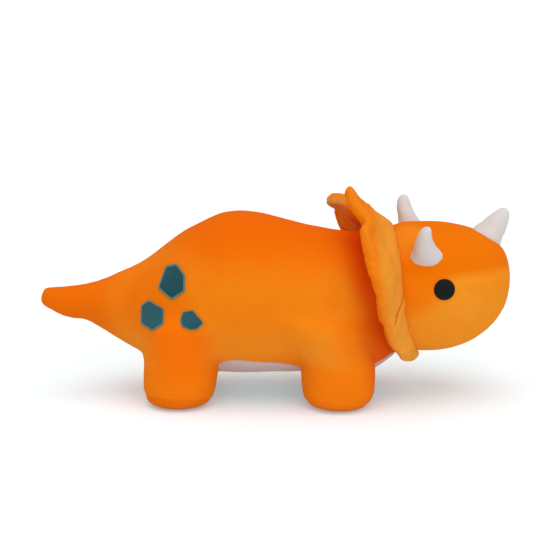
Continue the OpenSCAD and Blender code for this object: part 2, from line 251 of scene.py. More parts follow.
class Neighbours:
    """Averages over the points joined to each point by an edge."""

    def __init__(self, faces, n):
        e = np.vstack([np.column_stack([faces[:, i], np.roll(faces, -1, 1)[:, i]])
                       for i in range(faces.shape[1])])
        self.e = np.vstack([e, e[:, ::-1]])
        self.n = n
        self.count = np.maximum(np.bincount(self.e[:, 0], minlength=n), 1)

    def mean(self, v):
        v = np.asarray(v, float)
        if v.ndim == 1:
            return np.bincount(self.e[:, 0], v[self.e[:, 1]], self.n) / self.count
        return np.column_stack([self.mean(v[:, i]) for i in range(v.shape[1])])


def smooth_noise(pts, size, seed):
    """A smooth random value from -1 to 1 at each point, with bumps about size mm across."""
    off = Vector((seed * 17.3, seed * 5.7, seed * 11.1))
    return np.array([noise.noise(Vector(p) / size + off) for p in pts])


def normals(pts, faces):
    """The surface's direction at each point of a mesh of quads."""
    a, b, c, d = (pts[faces[:, i]] for i in range(4))
    fn = np.cross(c - a, d - b)
    n = np.zeros_like(pts)
    for i in range(4):
        for k in range(3):
            n[:, k] += np.bincount(faces[:, i], fn[:, k], len(pts))
    return n / np.maximum(np.linalg.norm(n, axis=1), 1e-9)[:, None]


# --- cloth and panels ---


def new_object(name, pts, faces):
    """A smooth mesh from points in millimetres."""
    me = bpy.data.meshes.new(name)
    me.from_pydata([tuple(q) for q in np.asarray(pts) * MM], [], [tuple(f) for f in faces])
    me.update()
    me.polygons.foreach_set("use_smooth", [True] * len(me.polygons))
    return linked(name, me)


def linked(name, data):
    """A new object in the scene."""
    ob = bpy.data.objects.new(name, data)
    scene.collection.objects.link(ob)
    return ob


def rows_of(items, key):
    """The vectors of a mesh's points, as rows."""
    v = np.empty(len(items) * 3)
    items.foreach_get(key, v)
    return v.reshape(-1, 3)


def inflate(pts, faces, hold, pressure, cap, grow=0.0, bend=0.6, tension=12):
    """Blows the closed skin up as cloth. hold is 1 where it is sewn down and 0 where it is free,
    grow is the share by which the fabric is larger than its form, and cap limits each point's way."""
    frames = 20
    ob = new_object("inflating", pts, faces)
    group = ob.vertex_groups.new(name="sewn")
    hold = np.round(hold, 1)
    for w in np.unique(hold[hold > 0]):
        group.add(np.flatnonzero(hold == w).tolist(), float(w), "REPLACE")
    cloth = ob.modifiers.new("cloth", "CLOTH")
    s = cloth.settings
    s.quality = 6
    s.mass = 0.15
    s.tension_stiffness = s.compression_stiffness = tension
    s.shear_stiffness = tension * 0.6
    s.bending_stiffness = bend
    s.tension_damping = s.compression_damping = 12
    s.use_pressure = True
    s.uniform_pressure_force = pressure
    s.vertex_group_mass = "sewn"
    s.pin_stiffness = 1.0
    s.shrink_min = -grow
    s.effector_weights.gravity = 0
    cloth.collision_settings.use_collision = False
    cloth.point_cache.frame_start = 1
    cloth.point_cache.frame_end = frames
    scene.frame_start, scene.frame_end = 1, frames
    for f in range(1, frames + 1):
        scene.frame_set(f)
    ev = ob.evaluated_get(bpy.context.evaluated_depsgraph_get())
    move = rows_of(ev.data.vertices, "co") / MM - pts
    far = np.linalg.norm(move, axis=1)
    move *= (np.minimum(far, cap) / np.maximum(far, 1e-9))[:, None]
    bpy.data.objects.remove(ob)
    scene.frame_set(1)
    return pts + move


def subdivide(pts, faces, levels):
    """Catmull-Clark subdivision."""
    ob = new_object("subdividing", pts, faces)
    mod = ob.modifiers.new("s", "SUBSURF")
    mod.levels = levels
    me = ob.evaluated_get(bpy.context.evaluated_depsgraph_get()).data
    pts = rows_of(me.vertices, "co") / MM
    quads = np.array([f.vertices[:] for f in me.polygons])
    bpy.data.objects.remove(ob)
    return pts, quads


def cut(pts, faces, fields):
    """Cuts the mesh where each field is zero, and returns points, faces and the faces' middles."""
    bm = bmesh.new()
    for p in pts:
        bm.verts.new(p)
    bm.verts.ensure_lookup_table()
    for f in faces:
        bm.faces.new([bm.verts[i] for i in f])
    for field in fields:
        bm.verts.index_update()
        co = np.array([v.co[:] for v in bm.verts])
        value = field(co.T)
        # Points this near the cut are taken to be on it, which leaves no slivers.
        value[np.abs(value) < 0.12] = 0.0
        on = {v for v, f in zip(bm.verts, value) if f == 0.0}
        edges = [(e, *(value[v.index] for v in e.verts)) for e in bm.edges]
        for e, a, b in edges:
            if a * b >= 0:
                continue
            _, v = bmesh.utils.edge_split(e, e.verts[0], float(a / (a - b)))
            on.add(v)
        bmesh.ops.connect_verts(bm, verts=list(on), check_degenerate=False)
    bm.verts.index_update()
    out = np.array([v.co[:] for v in bm.verts])
    polys = [[v.index for v in f.verts] for f in bm.faces]
    bm.free()
    return out, polys, np.array([out[f].mean(0) for f in polys])


def panel(name, pts, polys, thick, place=None):
    """Gives the faces a fabric's thickness, inwards, with a hard edge round the outer face."""
    used = sorted({i for f in polys for i in f})
    index = {v: i for i, v in enumerate(used)}
    polys = [[index[i] for i in f] for f in polys]
    pts = pts[used]
    ob = new_object(name + ".outer", pts, polys)
    n = rows_of(ob.data.vertex_normals, "vector")
    bpy.data.objects.remove(ob)
    count = len(pts)
    ways = dict.fromkeys((a, b) for f in polys for a, b in zip(f, f[1:] + f[:1]))
    border = [(a, b) for (a, b) in ways if (b, a) not in ways]
    faces = polys + [[i + count for i in reversed(f)] for f in polys]
    faces += [[b, a, a + count, b + count] for a, b in border]
    both = np.vstack([pts, pts - n * thick])
    if place is not None:
        both = place(both)
    ob = new_object(name, both, faces)
    hard = {frozenset(e) for a, b in border for e in ((a, b), (a + count, b + count))}
    flags = [frozenset(e.vertices) in hard for e in ob.data.edges]
    ob.data.attributes.new("sharp_edge", "BOOLEAN", "EDGE").data.foreach_set("value", flags)
    return ob


# --- materials ---


class Nodes:
    """A short way to build a node material. Each method adds a node and returns its output."""

    def __init__(self, name):
        self.mat = bpy.data.materials.new(name)
        self.mat.use_nodes = True
        self.t = self.mat.node_tree
        self.coords = self.add("ShaderNodeTexCoord").outputs["Object"]

    def surface(self, values):
        """Sets the shader's own sockets."""
        for name, v in values.items():
            self.put(self.t.nodes["Principled BSDF"].inputs[name], v)

    def add(self, kind, inputs=(), **props):
        n = self.t.nodes.new(kind)
        for k, v in props.items():
            setattr(n, k, v)
        for k, v in dict(inputs).items():
            self.put(n.inputs[k], v)
        return n

    def put(self, socket, v):
        if isinstance(v, bpy.types.NodeSocket):
            self.t.links.new(v, socket)
        else:
            socket.default_value = v

    def noise(self, scale, detail=3.0, rough=0.5):
        n = self.add("ShaderNodeTexNoise", {"Scale": scale, "Detail": detail, "Roughness": rough,
                                            "Vector": self.coords})
        return n.outputs["Fac"]

    def ramp(self, fac, stops):
        n = self.add("ShaderNodeValToRGB", {"Fac": fac})
        e = n.color_ramp.elements
        while len(e) < len(stops):
            e.new(0.5)
        for el, (pos, col) in zip(e, stops):
            el.position = pos
            el.color = (*col, 1)
        return n.outputs["Color"]

    def mix(self, fac, a, b):
        n = self.add("ShaderNodeMix", {0: fac, 6: a, 7: b}, data_type="RGBA")
        return n.outputs[2]

    def math(self, op, *values):
        n = self.add("ShaderNodeMath", operation=op)
        for socket, v in zip(n.inputs, values):
            self.put(socket, v)
        return n.outputs[0]

    def rise(self, fac, start, end, top=1.0):
        """From 0 to top as fac goes from start to end."""
        return self.ramp(fac, [(start, (0, 0, 0)), (end, (top, top, top))])

    def smooth(self, value, start, end, low=0.0, high=1.0):
        """From low to high, eased, as value goes from start to end."""
        n = self.add("ShaderNodeMapRange", {"Value": value, "From Min": start, "From Max": end,
                                            "To Min": low, "To Max": high},
                     interpolation_type="SMOOTHSTEP")
        return n.outputs["Result"]

    def vector(self, op, a, b):
        n = self.add("ShaderNodeVectorMath", {0: a, 1: b}, operation=op)
        return n.outputs["Value" if op in ("DOT_PRODUCT", "DISTANCE") else "Vector"]

    def bump(self, height, strength, distance, normal=None):
        n = self.add("ShaderNodeBump", {"Height": height, "Strength": strength,
                                        "Distance": distance})
        if normal is not None:
            self.put(n.inputs["Normal"], normal)
        return n.outputs["Normal"]


def velour(name, base, brushed, deep, sheen=0.06, tint=(1, 0.6, 0.15), zones=()):
    """Short-pile plush. brushed is its colour where the nap lies over, deep down in the pile.
    Each zone is a colour, how much of it, and its mask; several zones are painted light and shade."""
    m = Nodes(name)
    nap = m.noise(11.0, 2.0)
    strokes = m.noise(45.0, 3.0, 0.55)
    tufts = m.noise(900.0, 2.0, 0.6)
    pile = m.noise(2600.0, 1.0)
    colour = m.mix(m.rise(nap, 0.38, 0.62), (*base, 1), (*brushed, 1))
    for zone_colour, share, mask in zones:
        colour = m.mix(m.math("MULTIPLY", mask(m), share), colour, (*zone_colour, 1))
    colour = m.mix(m.rise(strokes, 0.52, 0.78, 0.3), colour, (*deep, 1))
    colour = m.mix(m.rise(tufts, 0.5, 0.75, 0.3), colour, (*deep, 1))
    normal = m.bump(strokes, 0.25, 0.0012)
    normal = m.bump(tufts, 0.35, 0.0006, normal)
    normal = m.bump(pile, 0.3, 0.0003, normal)
    m.surface({
        "Base Color": colour, "Roughness": m.math("MULTIPLY_ADD", strokes, 0.12, 0.85),
        "Specular IOR Level": 0.02, "Sheen Weight": sheen, "Sheen Roughness": 0.5,
        "Sheen Tint": (*tint, 1), "Normal": normal,
    })
    return m.mat


def beyond(way, start, end):
    """A mask that rises from 0 to 1 between two distances, in metres, along a direction."""
    # The edge wanders by up to half of this each way.
    stir = 0.02

    def mask(m):
        along = m.vector("DOT_PRODUCT", m.coords, way)
        stirred = m.math("MULTIPLY_ADD", m.noise(14.0, 2.0), stir, along)
        return m.smooth(stirred, start + stir / 2, end + stir / 2)
    return mask


def around_point(middle, inner, outer):
    """A mask that is 1 within inner metres of a point and 0 past outer."""
    def mask(m):
        return m.smooth(m.vector("DISTANCE", m.coords, middle), inner, outer, 1.0, 0.0)
    return mask


def along_crease(start, end, facing, inner, outer):
    """A mask that is 1 within inner metres of a crease's line and 0 past outer, however high
    the surface stands along facing."""
    a, b = Vector(start), Vector(end)
    across = (b - a).cross(Vector(facing)).normalized()
    length = (b - a).length

    def mask(m):
        side = m.vector("DOT_PRODUCT", m.vector("SUBTRACT", m.coords, a), across)
        close = m.smooth(m.math("ABSOLUTE", side), inner, outer, 1.0, 0.0)
        # It fades out at both ends.
        middle = around_point((a + b) / 2, length * 0.45, length * 0.62)(m)
        return m.math("MULTIPLY", close, middle)
    return mask


def fibre(name):
    """Loose white polyester stuffing."""
    m = Nodes(name)
    wisps = m.noise(160.0, 6.0, 0.7)
    curls = m.noise(900.0, 4.0, 0.6)
    colour = m.ramp(wisps, [(0.3, (0.68, 0.68, 0.67)), (0.65, (0.9, 0.9, 0.89))])
    normal = m.bump(curls, 0.6, 0.0008, m.bump(wisps, 0.8, 0.003))
    m.surface({"Base Color": colour, "Roughness": 0.9, "Sheen Weight": 0.3, "Normal": normal})
    return m.mat


def satin_stitch(name, thread, dark, spacing, turn):
    """Parallel embroidery threads, spacing metres apart, across the X axis turned by turn."""
    m = Nodes(name)
    wobble = m.noise(250.0, 2.0)
    at = m.add("ShaderNodeMapping", {"Vector": m.coords, "Rotation": turn})
    wave = m.add("ShaderNodeTexWave", {"Vector": at.outputs[0], "Scale": 1 / spacing / 3.2,
                                       "Distortion": 1.2, "Detail": 2.0, "Detail Scale": 2.0})
    lines = wave.outputs["Fac"]
    colour = m.mix(m.math("MULTIPLY", lines, 0.8), (*dark, 1), (*thread, 1))
    colour = m.mix(m.rise(wobble, 0.4, 0.7, 0.3), colour, (*dark, 1))
    m.surface({
        "Base Color": colour, "Roughness": m.math("MULTIPLY_ADD", lines, -0.15, 0.62),
        "Specular IOR Level": 0.15, "Normal": m.bump(lines, 0.5, 0.0003),
    })
    return m.mat


# A deeper orange; over the body's top it is painted shade.
DEEP = (0.74, 0.112, 0.0001)
ORANGE = velour("orange_velour", (0.78, 0.195, 0.005), (0.79, 0.22, 0.009),
                (0.74, 0.13, 0.001), zones=[
    # Painted light: lighter and yellower low down, for light thrown up from the floor and the pile's
    # sheen.
    ((0.77, 0.24, 0.016), 0.7, beyond((0, 0, -1), -0.085, -0.05)),
    ((0.82, 0.175, 0.003), 0.9, beyond((0, 0, -1), -0.05, -0.03)),
    # Painted shade: a deeper orange over the top of the body, for how the pile looks there under the
    # light.
    (DEEP, 0.9, beyond((0, 0, 1), 0.1, 0.15)),
    ((0.72, 0.125, 0.0006), 0.65, around_point((-0.102, -0.042, 0.096), 0.018, 0.046)),
    ((0.84, 0.135, 0.0002), 0.8, around_point((-0.08, -0.06, 0.055), 0.012, 0.04)),
    # Painted shade in the hollow above the right front leg.
    ((0.8, 0.15, 0.001), 0.55, around_point((0.066, -0.058, 0.061), 0.01, 0.028)),
    (DEEP, 0.8, beyond((-1, 0, 0.2), 0.125, 0.175)),
    # Painted shade: deep red in the shadow beside the neck, under the collar.
    ((0.84, 0.06, 0.0001), 0.8, beyond((1, 0, 0.25), 0.08, 0.104)),
])
# The head's orange is lighter than the body's, partly its own colour and partly painted light from
# the floor and sheen.
ORANGE_HEAD = velour("orange_velour_head", (0.8, 0.245, 0.01), (0.8, 0.27, 0.02),
                     (0.76, 0.17, 0.002), zones=[
    # Painted shade: a deeper orange over the top of the head, as on the body.
    ((0.74, 0.145, 0.0004), 0.95, beyond((0, 0, 1), 0.107, 0.119)),
    # Painted shade carried lower on the right side of the head, next to the collar.
    ((0.8, 0.16, 0.0004), 0.8, around_point((0.112, -0.052, 0.108), 0.015, 0.036)),
    ((0.8, 0.25, 0.015), 0.6, around_point((0.108, -0.026, 0.143), 0.01, 0.028)),
])


def painted_crease_shadow(sign):
    """The painted shadow along the crease, on one side."""
    *ends, facing = crease(sign)
    start, end = turned(ends) * MM
    return (0.42, 0.095, 0.006), 0.7, along_crease(start, end, facing, 0.0004, 0.0018)


ORANGE_FRILL = velour("orange_velour_frill", (0.76, 0.28, 0.028), (0.76, 0.3, 0.036),
                      (0.7, 0.16, 0.004), zones=[
    ((0.78, 0.18, 0.003), 0.85, beyond((-1, 0, -0.12), -0.107, -0.097)),
    painted_crease_shadow(-1),
    painted_crease_shadow(1),
])
ORANGE_BACK = velour("orange_velour_back", (0.8, 0.175, 0.002), (0.8, 0.2, 0.006),
                     (0.74, 0.13, 0.001), zones=[
    # Painted shade: deep red towards the collar's root, where its back faces the neck.
    ((0.7, 0.09, 0.001), 0.6, beyond((1, 0, 0), 0.078, 0.096)),
    ((0.6, 0.26, 0.055), 0.85, around_point((0.05, 0.026, 0.168), 0.012, 0.026)),
])
# Painted shade: the soles are a darker copy of the orange, for the shade near the floor.
SOLE_ORANGE_PAINTED_SHADE = velour("orange_velour_sole", (0.73, 0.145, 0.003), (0.76, 0.17, 0.006),
                     (0.66, 0.11, 0.001))
CREAM = velour("cream_velour", (0.53, 0.42, 0.38), (0.57, 0.46, 0.43), (0.45, 0.33, 0.29),
               0.06, (1, 0.9, 0.85))
WHITE = velour("white_velour", (0.63, 0.58, 0.565), (0.66, 0.615, 0.6), (0.58, 0.52, 0.5),
               0.1, (1, 0.95, 0.93))
TEAL = velour("teal_velour", (0.008, 0.05, 0.06), (0.016, 0.07, 0.082), (0.006, 0.04, 0.05),
              0.2, (0.5, 0.8, 0.85), zones=[
    ((0.03, 0.1, 0.118), 0.7, beyond((0, 0, -1), -0.098, -0.088)),
])
# Painted highlight: the border's thread is the spots' teal, painted lighter for its sheen.
TEAL_STITCH = satin_stitch("teal_satin_stitch", (0.15, 0.28, 0.25), (0.04, 0.12, 0.12),
                           0.0008, (0, 0, 0))
BLACK = satin_stitch("black_satin_stitch", (0.006, 0.0065, 0.006), (0.002, 0.002, 0.002),
                     0.0007, (0, 0, 0.5))
FIBRE = fibre("fibre_filling")


def finish(ob, material, body, replaced):
    """Gives a piece its material and its body, and hides the CAD parts that it stands for.
    A piece without a body is left unattached."""
    ob.data.materials.append(material)
    if body is not None:
        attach(ob, body)
    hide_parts(*replaced)


# --- body skin ---

# The fabric's thickness
FABRIC = 1.6
# How far from a seam the cloth is held down by it
SEWN = 3.0
# The whole skins, on which the horns, eyes and spots are laid
SKINS = {}
# A foot's pieces lie within this of its axis, its sole below SOLE_TOP and its cover below LEG_TOP.
FOOT_REACH = 40
SOLE_TOP = 20
LEG_TOP = 60
# The seam on a leg's inner face is this far from its axis, and closes in above this height.
LEG_SEAM = (31.5, 46)
# Where the front legs' half of the body begins
MIDDLE_X = -14
# How far round from level the belly panel's seam runs, at x along the body
BELLY_ANGLE = ([-60, -44, -3, 18, 40, 80, 100], [45, 45, 50.5, 53.5, 55, 58, 64])


def seam_y(x):
    """Half the belly panel's width at x: narrower past the feet, with a point under the tail."""
    reach, between_feet, tip = 34.0, 27.0, -112
    wide = curve(BODY, x, 3) * np.cos(np.radians(np.interp(x, *BELLY_ANGLE)))
    for foot in (53, -80):
        near = np.exp(-(((x - foot) / reach) ** 4))
        wide = wide * (1 - near) + np.minimum(wide, between_feet) * near
    return wide * np.clip((x - tip) / reach, -0.2, 1)


def belly_field(p):
    """Positive on the side panels and negative on the belly and the legs' inner faces."""
    x, y, z = p
    low = np.abs(y) - seam_y(x)
    return np.where(z > curve(BODY, np.clip(x, -200, 96), 1) - 8, 20.0, low)


def foot_axis(p):
    """The distance from the nearest foot's axis."""
    x, y, _ = p
    return np.min([np.hypot(x - a[0], y - a[1]) for a in FEET], 0)


def leg_top_field(p):
    """Negative on a leg's inner face and positive on the belly beside it."""
    return foot_axis(p) - LEG_SEAM[0] + np.clip(p[2] - LEG_SEAM[1], 0, 60)


def sole_field(p):
    """Negative below the sole's seam of the nearest foot."""
    x, y, z = p
    nearest, above = np.inf, 0.0
    for fx, fy, height, slope, rise in FEET:
        seam = height + slope * (x - fx) + rise * (y - fy) * np.sign(fy)
        away = np.hypot(x - fx, y - fy)
        above = np.where(away < nearest, z - np.maximum(seam, SEAM_LOWEST), above)
        nearest = np.minimum(nearest, away)
    return above


def groove(pts, n, distance, depth, width):
    """Sinks the surface along a seam."""
    return pts - n * (depth * bell(distance, width))[:, None]


def seam_distance(pts, field, n):
    """Roughly the distance along the surface to where field is zero."""
    v = field(pts.T)
    g = gradient(field, pts, 0.8)
    g = g - n * (g * n).sum(1)[:, None]
    return np.abs(v) / np.clip(np.linalg.norm(g, axis=1), 0.35, 1.5)


def fold(pts, n, start, end, facing, sunk, width):
    """Presses a crease between two points on the side that faces that way. The fabric on its
    lower side stands proud."""
    lip = 2.0
    start, end, facing = (np.array(v, float) for v in (start, end, facing))
    way = end - start
    length = np.linalg.norm(way)
    way /= length
    across = unit(np.cross(way, facing))
    if across[2] > 0:
        across = -across
    q = pts - start
    along, d, h = q @ way, q @ across, q @ np.cross(way, across)
    near = np.clip(np.minimum(along + 5, length + 5 - along) / 8, 0, 1) * bell(h, 10)
    near = near * ((n @ facing) > 0.2)
    raised = np.where(d > 0, np.exp(-d / 8) * (1 - bell(d, 1.6)), 0)
    return pts + n * (near * (lip * raised - sunk * bell(d, width)))[:, None]


def centre_field(p):
    """Zero on the seam along the back and over the head."""
    return p[1]


def blown_skin(field, low, high, shrink, held, cap):
    """Points, quads and normals of the field's surface, blown up by at most cap where
    held(points, normals) doesn't hold it down."""
    pts, quads = field_mesh(field, low, high, shrink)
    hold = np.clip(held(pts, normals(pts, quads)), 0, 1)
    pts = settle(inflate(pts, quads, hold, pressure=4.0, cap=cap), quads, field)
    pts, quads = subdivide(pts, quads, 2)
    return pts, quads, normals(pts, quads)


def body_hold(pts, n):
    """How firmly each point of the body is sewn down or shaped."""
    return np.max([
        bell(seam_distance(pts, centre_field, n), SEWN),
        bell(seam_distance(pts, belly_field, n), SEWN),
        bell(sole_field(pts.T), SEWN),
        # The undersides of the feet stay flat, and the neck's ball keeps its form.
        np.clip((6 - pts[:, 2]) / 3, 0, 1),
        np.clip((pts[:, 0] - 98) / 4, 0, 1),
    ], 0)


def make_body():
    """The whole skin of the body, neck, legs and tail, as points and quads."""
    low, high = (-208, -76, -6), (146, 76, 172)
    pts, quads, n = blown_skin(body_field, low, high, 2.6, body_hold, 5.0)
    d = np.minimum(seam_distance(pts, centre_field, n), seam_distance(pts, belly_field, n))
    pts = groove(pts, n, d, depth=1.3, width=2.2)
    sole_seam = np.where(pts[:, 2] < SOLE_TOP, seam_distance(pts, sole_field, n), 99)
    pts = groove(pts, n, sole_seam, depth=0.6, width=2.2)
    pucker = smooth_noise(pts, 5.0, 3) * bell(d, 6.0)
    dents = smooth_noise(pts, 38.0, 1) * 0.8 + smooth_noise(pts, 16.0, 2) * 0.25
    pts = pts + n * (pucker * 0.35 + dents)[:, None]
    # Nothing dips under the floor.
    pts[:, 2] = np.maximum(pts[:, 2], 0.2)
    return pts, quads


def skin_tree(pts, quads):
    """The skin as a tree on which points can be dropped."""
    return BVHTree.FromPolygons([tuple(q) for q in pts], [tuple(q) for q in quads])


def body_panels():
    """Cuts the body's skin into its panels."""
    pts, quads = make_body()
    SKINS["body"] = skin_tree(pts, quads)
    pts, polys, mid = cut(pts, quads, [centre_field, belly_field, leg_top_field, sole_field])
    side = belly_field(mid.T) > 0
    low = sole_field(mid.T) < 0
    legs = leg_top_field(mid.T) < 0
    near_foot = foot_axis(mid.T) < FOOT_REACH
    low &= near_foot & (mid[:, 2] < SOLE_TOP)
    groups = {}
    for i, f in enumerate(polys):
        x, y, z = mid[i]
        hand = "right" if y < 0 else "left"
        end = "front" if x > MIDDLE_X else "rear"
        if low[i]:
            key = f"sole_{end}_{hand}"
        elif side[i]:
            key = f"body_side_{hand}"
        elif legs[i] and z < LEG_TOP and near_foot[i]:
            key = f"leg_{end}_{hand}"
        else:
            key = "belly_panel"
        groups.setdefault(key, []).append(f)
    for key, fs in sorted(groups.items()):
        ob = panel("plush_" + key, pts, fs, FABRIC)
        if key.startswith("body_side"):
            hand = key.rsplit("_", 1)[1]
            finish(ob, ORANGE, None, [key, f"tail_side_{hand}"])
            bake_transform(ob)
        elif key == "belly_panel":
            finish(ob, CREAM, None, [key])
            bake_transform(ob)
        elif key.startswith("sole"):
            finish(ob, SOLE_ORANGE_PAINTED_SHADE, "body", [key])
        else:
            finish(ob, ORANGE, "body", [key])


# --- head skin ---


def opening_field(p):
    """Positive on the head's side of its open back edge, which runs forward under the chin."""
    return p[0] - OPENING_X - np.interp(p[2], *OPENING_SLANT)


def head_hold(pts, n):
    """How firmly each point of the head is sewn down, at its middle seam and its back edge."""
    seam = bell(seam_distance(pts, centre_field, n), SEWN)
    return np.maximum(seam, np.clip((103 - pts[:, 0]) / 4, 0, 1))


def head_panels():
    """Cuts the head's skin into its two sides, and off at its open back edge."""
    low, high = (88, -62, 34), (206, 62, 160)
    pts, quads, n = blown_skin(head_field, low, high, 2.2, head_hold, 4.5)
    d = seam_distance(pts, centre_field, n)
    pts = groove(pts, n, d, depth=1.0, width=2.0)
    pucker = smooth_noise(pts, 5.0, 5) * bell(d, 6.0)
    dents = smooth_noise(pts, 34.0, 6) * 0.7
    pts = pts + n * (pucker * 0.3 + dents)[:, None]
    SKINS["head"] = skin_tree(pts, quads)
    pts, polys, mid = cut(pts, quads, [centre_field, opening_field])
    ahead = opening_field(mid.T) > 0
    for hand, sign in HANDS:
        fs = [f for f, m, keep in zip(polys, mid, ahead) if keep and m[1] * sign > 0]
        ob = panel(f"plush_head_side_{hand}", pts, fs, FABRIC, turned)
        finish(ob, ORANGE_HEAD, "head", [f"head_side_{hand}"])


# --- frill ---

# Points round the frill's rim from the top to the bottom: x, half width, height
RIM = [(77, 0, 160), (67, 12, 169), (60, 21, 180), (58, 30, 182), (62, 44, 172), (70, 56, 161),
       (66, 64, 155), (69, 71, 142), (72, 75, 127), (76, 77, 116), (79, 76, 103), (81, 72, 88),
       (86, 66, 75), (91, 57, 60), (102, 41, 44), (109, 24, 37), (112, 0, 34)]
# The left side's top point flops back and down.
LEFT_RIM = [(77, 0, 160), (66, 12, 166), (56, 21, 167), (49, 31, 165.5), (55, 45, 162), (62, 56, 156),
            (58.5, 64, 151), (63.5, 71, 140), (69, 75, 127), (74.5, 77, 116)] + RIM[10:]
# The same round its root, where it is sewn to the head, from x and the angle from the top
ROOT = [
    (x, curve(HEAD, x, 3) * math.sin(math.radians(a)) ** 0.94,
     curve(HEAD, x, 1) + curve(HEAD, x, 2) * math.cos(math.radians(a)))
    for x, a in (
        (99, 0), (99, 11), (99, 19), (99, 27), (99.3, 40), (99.8, 50), (100.2, 57), (100.4, 66),
        (100.6, 75), (101, 83), (101.6, 92), (102.8, 103), (105, 112), (109, 125), (115, 145),
        (120, 163), (122, 180),
    )
]


def loop_points(right, left, n):
    """n points round a closed curve down its right side and back up its left."""
    knots = np.array([(x, -y, z) for x, y, z in right] + left[-2:0:-1], float)
    m = len(knots)
    out = []
    for i in range(n):
        u = i / n * m
        k, t = int(u), u - int(u)
        a, b, c, d = (knots[(k + j - 1) % m] for j in range(4))
        out.append(0.5 * (2 * b + (c - a) * t + (2 * a - 5 * b + 4 * c - d) * t**2
                          + (3 * b - 3 * c + d - a) * t**3))
    return np.array(out)


def ring_quads(count, around, closed=False):
    """Quads over count rings of points, and from the last ring to the first if closed."""
    return [[i * around + j, (i + 1) % count * around + j,
             (i + 1) % count * around + (j + 1) % around, i * around + (j + 1) % around]
            for i in range(count if closed else count - 1) for j in range(around)]


def make_frill(around, across, first, last, thick, edge):
    """The collar between the shares first and last of its width, as rows of points: up its
    front, over its edge and down its back. Returns points, quads and each point's row."""
    rim, root = loop_points(RIM, LEFT_RIM, around), loop_points(ROOT, ROOT, around)
    knots = 2 * len(RIM) - 2
    # How far round, in the rim's points, and the same from the top down either side
    lap = np.arange(around) / around * knots
    knot = np.minimum(lap, knots - lap)
    # Rows from the root to the rim
    s = np.linspace(first, last, across)
    sheet = root * (1 - s)[:, None, None] + rim * s[:, None, None]
    out = rim - root
    up = unit(np.cross(out, np.roll(rim, -1, 0) - np.roll(rim, 1, 0)))
    facing = np.where((up[:, 0] > 0)[:, None], up, -up)
    for _ in range(4):
        facing = (facing + np.roll(facing, 1, 0) + np.roll(facing, -1, 0)) / 3
    facing = unit(facing)
    # The collar is cupped towards the body.
    cup = np.interp(knot, [0, 5, 8, 13, 16], [-1.5, -1.5, 2.0, 1.0, -1.0])
    sheet = sheet + facing * (np.sin(s * math.pi)[:, None] * cup)[:, :, None]
    # Half its thickness, greatest near the rim
    half = 1.4 + 1.7 * np.sqrt(np.sin(s * math.pi)) + 2.9 * s**2
    # The left top point is plumper.
    plump = 1 + 0.3 * bell(lap - 29.3, 1.6)
    half = half[:, None] * thick * plump
    ridge = 1.2 * bell(s - 0.66, 0.12) - 1.1 * bell(s - 0.34, 0.13)
    ridge = ridge[:, None] * np.clip(1 - ((knot - 7.2) / 4.0) ** 2, 0, 1)
    front = sheet + facing * (half + ridge)[:, :, None]
    back = sheet - facing * half[:, :, None]
    over = sheet[-1:] + unit(out) * edge
    rows = np.concatenate([front, over, back[::-1]])
    count = len(rows)
    pts = rows.reshape(-1, 3)
    quads = np.array(ring_quads(count, around, True))
    row = np.repeat(np.arange(count), around)
    if (normals(pts, quads)[row == across // 2] * facing).sum() < 0:
        quads = quads[:, ::-1]
    return pts, quads, row


def frill_creases(p, n, sunk, width):
    """The soft dents all over the collar and the crease on each side of its front."""
    p = p + n * (smooth_noise(p, 12.0, 9) * 0.5 + smooth_noise(p, 26.0, 10) * 0.6)[:, None]
    for sign in (-1, 1):
        p = fold(p, n, *crease(sign), sunk, width)
    return p


def frill_pieces():
    """The collar's two layers and the padding between them."""
    around, across = 132, 11
    pts, quads, row = make_frill(around, across, 0, 1, thick=1.0, edge=2.8)
    last = row.max()
    hold = np.isin(row, [0, across, last]).astype(float)
    pts = inflate(pts, quads, hold, pressure=3.0, cap=1.8, grow=0.03, bend=0.3, tension=10)
    on_front = row[quads].max(1) <= across
    p, f = subdivide(pts, quads, 2)
    rim = KDTree(4 * around)
    for i, q in enumerate(loop_points(RIM, LEFT_RIM, 4 * around)):
        rim.insert(q, i)
    rim.balance()
    away = np.array([rim.find(q)[2] for q in p])
    n = normals(p, f)
    pucker = smooth_noise(p, 4.6, 8) * bell(away, 6.5)
    p = frill_creases(p + n * (pucker * 1.1)[:, None], n, 1.8, 1.2)
    # Each coarse face becomes sixteen fine ones.
    on_front = np.repeat(on_front, 16)
    for name, fs, cloth in (("frill_front", f[on_front], ORANGE_FRILL),
                            ("frill_back", f[~on_front], ORANGE_BACK)):
        ob = panel("plush_" + name, p, fs.tolist(), FABRIC * 0.8, turned)
        finish(ob, cloth, "head", [name])
    p, f, _ = make_frill(around // 2, 5, 0.1, 0.88, thick=0.25, edge=0.4)
    p, f = subdivide(p, f, 2)
    n = normals(p, f)
    p = frill_creases(p, n, 3.2, 3.0) - n * (0.3 * (1 + smooth_noise(p, 9.0, 20)))[:, None]
    ob = new_object("fibre_frill_padding", turned(p), f)
    finish(ob, FIBRE, "head", ["frill_padding"])


# --- horns ---

# Each horn: where its foot stands on the head, how it leans, its length, its curl forwards, and
# how much fuller it is about its middle and about its tip
HORNS = {
    "nose_horn": ((179.5, 0, 136), (0.59, 0, 0.8), 28, -0.4, 0.22, 0.0),
    "brow_horn_right": ((121.7, -42.5, 129), (-0.2, -0.5, 0.855), 30, 3.0, 0.0, 0.0),
    "brow_horn_left": ((127, 41, 129), (-0.36, 0.42, 0.86), 39, 3.4, 0.04, 0.3),
}
# Its radius at shares of its length
HORN_R = np.array([[0, 13.6], [0.1, 11.9], [0.22, 9.9], [0.4, 8.3], [0.55, 7.2], [0.78, 5.6],
                   [0.9, 4.5], [0.97, 3.3], [1.0, 0.4]])


def head_landing(at, d):
    """The point where the line through at along d meets the head's skin from outside."""
    hit = SKINS["head"].ray_cast(Vector(at + d * 30), Vector(-d))[0]
    return at if hit is None else np.array(hit)


